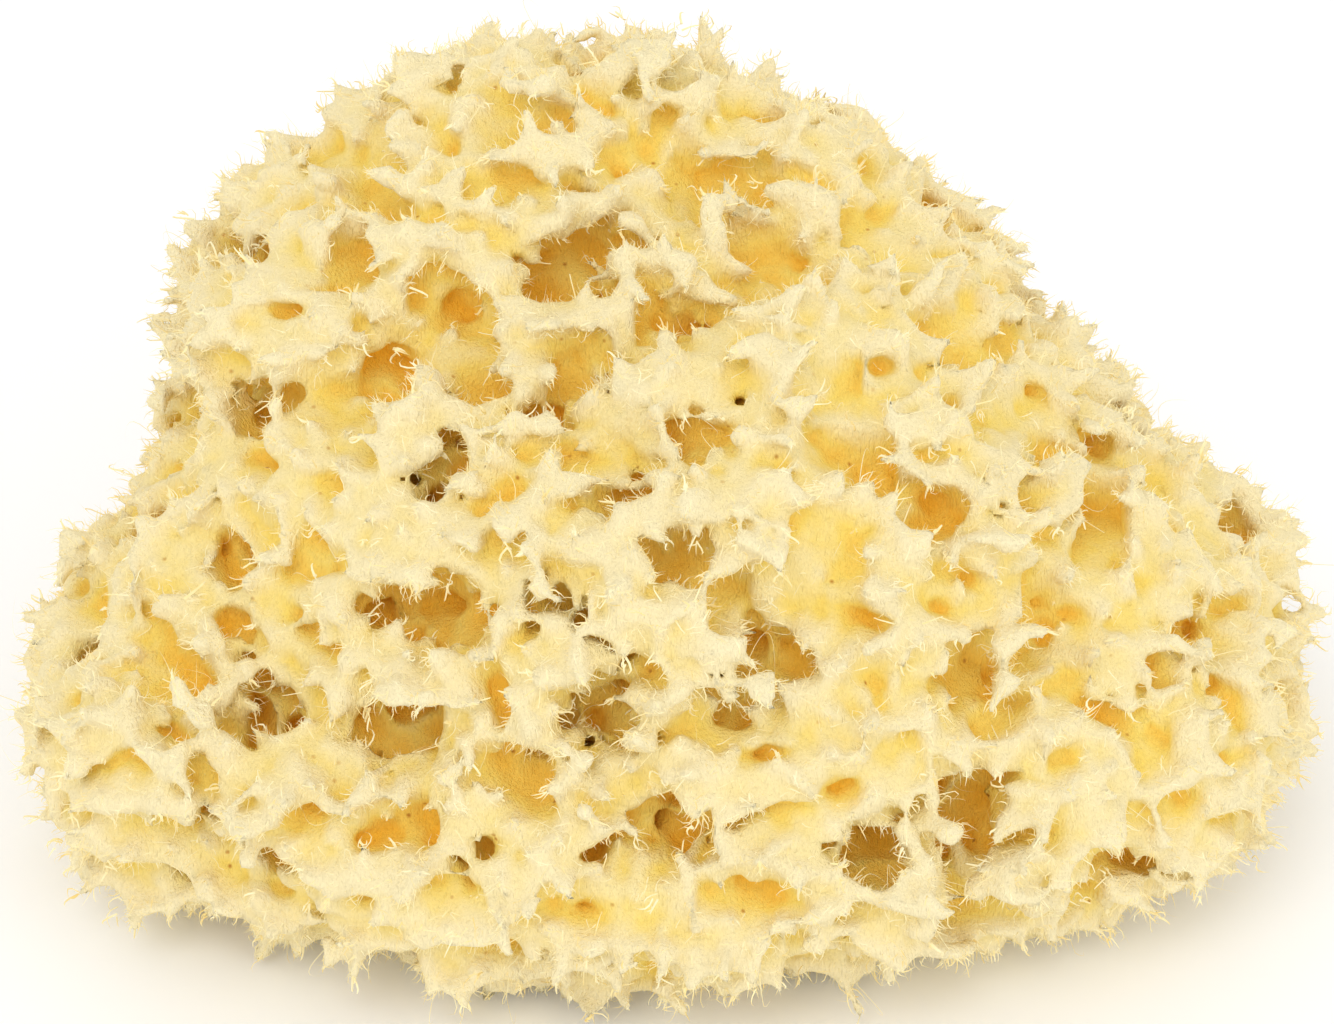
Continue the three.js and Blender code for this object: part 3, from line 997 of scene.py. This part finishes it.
# %% [markdown]
# The fibres' finish
# A single fibre is paler than the felt: partly its own colour, partly painted light for the light
# that goes through it. For the same reason it casts no shadow here. Its flat shading keeps three
# sides from looking dark at a grazing angle.

# %% Fibre finish
# Partly painted light: the palest tone also stands for light passing through the fibre.
FIBRE = (253, 243, 200)
FIBRE_GOLD = (249, 224, 150)
TONES = [(0.35, FIBRE), (0.75, FIBRE_GOLD)]
TONES_PER_METRE = 420.0

fibre_finish = Finish("sponge_fibre")
place = fibre_finish.node("ShaderNodeTexCoord").outputs["Object"]
patches = fibre_finish.node(
    "ShaderNodeTexNoise", {}, Vector=place, Scale=TONES_PER_METRE, Detail=1.0
)
tone = fibre_finish.wire(patches, "Fac")
colour = fibre_finish.node("ShaderNodeValToRGB", {"stops": TONES}, tone).outputs[0]
strand = fibre_finish.node(
    "ShaderNodeBsdfPrincipled", {}, Base_Color=colour, Roughness=0.75, Specular_IOR_Level=0.2
)
fibre_finish.node("ShaderNodeOutputMaterial", {}, strand.outputs[0])
for piece in loose:
    piece.data.materials.append(fibre_finish.material)
    piece.data.shade_flat()
    piece.visible_shadow = piece.visible_diffuse = False
print("loose fibres in", [piece.name for piece in loose])

# %% [markdown]
# Light and floor
# The sponge stands on a plain white floor under a broad soft light from above and in front,
# with the same white all round to fill the canals.

# %% Light and floor
FLOOR_SIZE = 6.0
FLOOR_WHITE = (0.985, 0.985, 0.985, 1)
CANAL_BOUNCES = 4
ALL_ROUND = 0.91
LIGHT_SIZE = 0.6

world = bpy.data.worlds.new("studio")
world.use_nodes = True
backdrop = world.node_tree.nodes["Background"]
backdrop.inputs["Color"].default_value = (1, 1, 1, 1)
backdrop.inputs["Strength"].default_value = ALL_ROUND
world.cycles.sampling_method = "NONE"
bpy.context.scene.world = world


def soft_light(name, place, power, aim=(0, 0, 0.04)):
    light = bpy.data.objects.new(name, bpy.data.lights.new(name, "AREA"))
    light.data.size = LIGHT_SIZE
    light.data.energy = power
    light.location = place
    light.rotation_euler = (Vector(aim) - Vector(place)).to_track_quat("-Z", "Y").to_euler()
    bpy.context.collection.objects.link(light)
    return light


soft_light("key", (-0.25, -0.6, 0.9), 2.6)
soft_light("fill", (0.7, -0.6, 0.5), 1)

shape = bmesh.new()
bmesh.ops.create_grid(shape, x_segments=1, y_segments=1, size=FLOOR_SIZE / 2)
floor_mesh = bpy.data.meshes.new("floor")
shape.to_mesh(floor_mesh)
shape.free()
floor = placed("floor", floor_mesh)
floor_finish = Finish("floor_white")
paper = floor_finish.node("ShaderNodeTexCoord").outputs["Object"]
specks = floor_finish.node("ShaderNodeTexNoise", {}, Vector=paper, Scale=400.0)
speck = floor_finish.wire(specks, "Fac")
matt = floor_finish.node(
    "ShaderNodeBsdfPrincipled", {}, Base_Color=FLOOR_WHITE, Roughness=speck * 0.1 + 0.85
)
floor_finish.node("ShaderNodeOutputMaterial", {}, matt.outputs[0])
floor.data.materials.append(floor_finish.material)
floor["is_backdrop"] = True
bpy.context.scene.view_settings.view_transform = "Standard"
bpy.context.scene.cycles.diffuse_bounces = CANAL_BOUNCES
print("lights and floor made")

# %% [markdown]
# What rides on what
# The sponge has no joint, so every piece rides on its one body. The felt stands for the solid,
# which stays for the physics.

# %% Riding
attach(felt, "root")
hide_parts("sponge")
for piece in loose:
    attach(piece, "root")

# %% Sizes
sizes = {"solid": solid_box, "visual": [list(corner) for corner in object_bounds()]}
print({name: [round((b - a) / MM, 1) for a, b in zip(*box)] for name, box in sizes.items()})
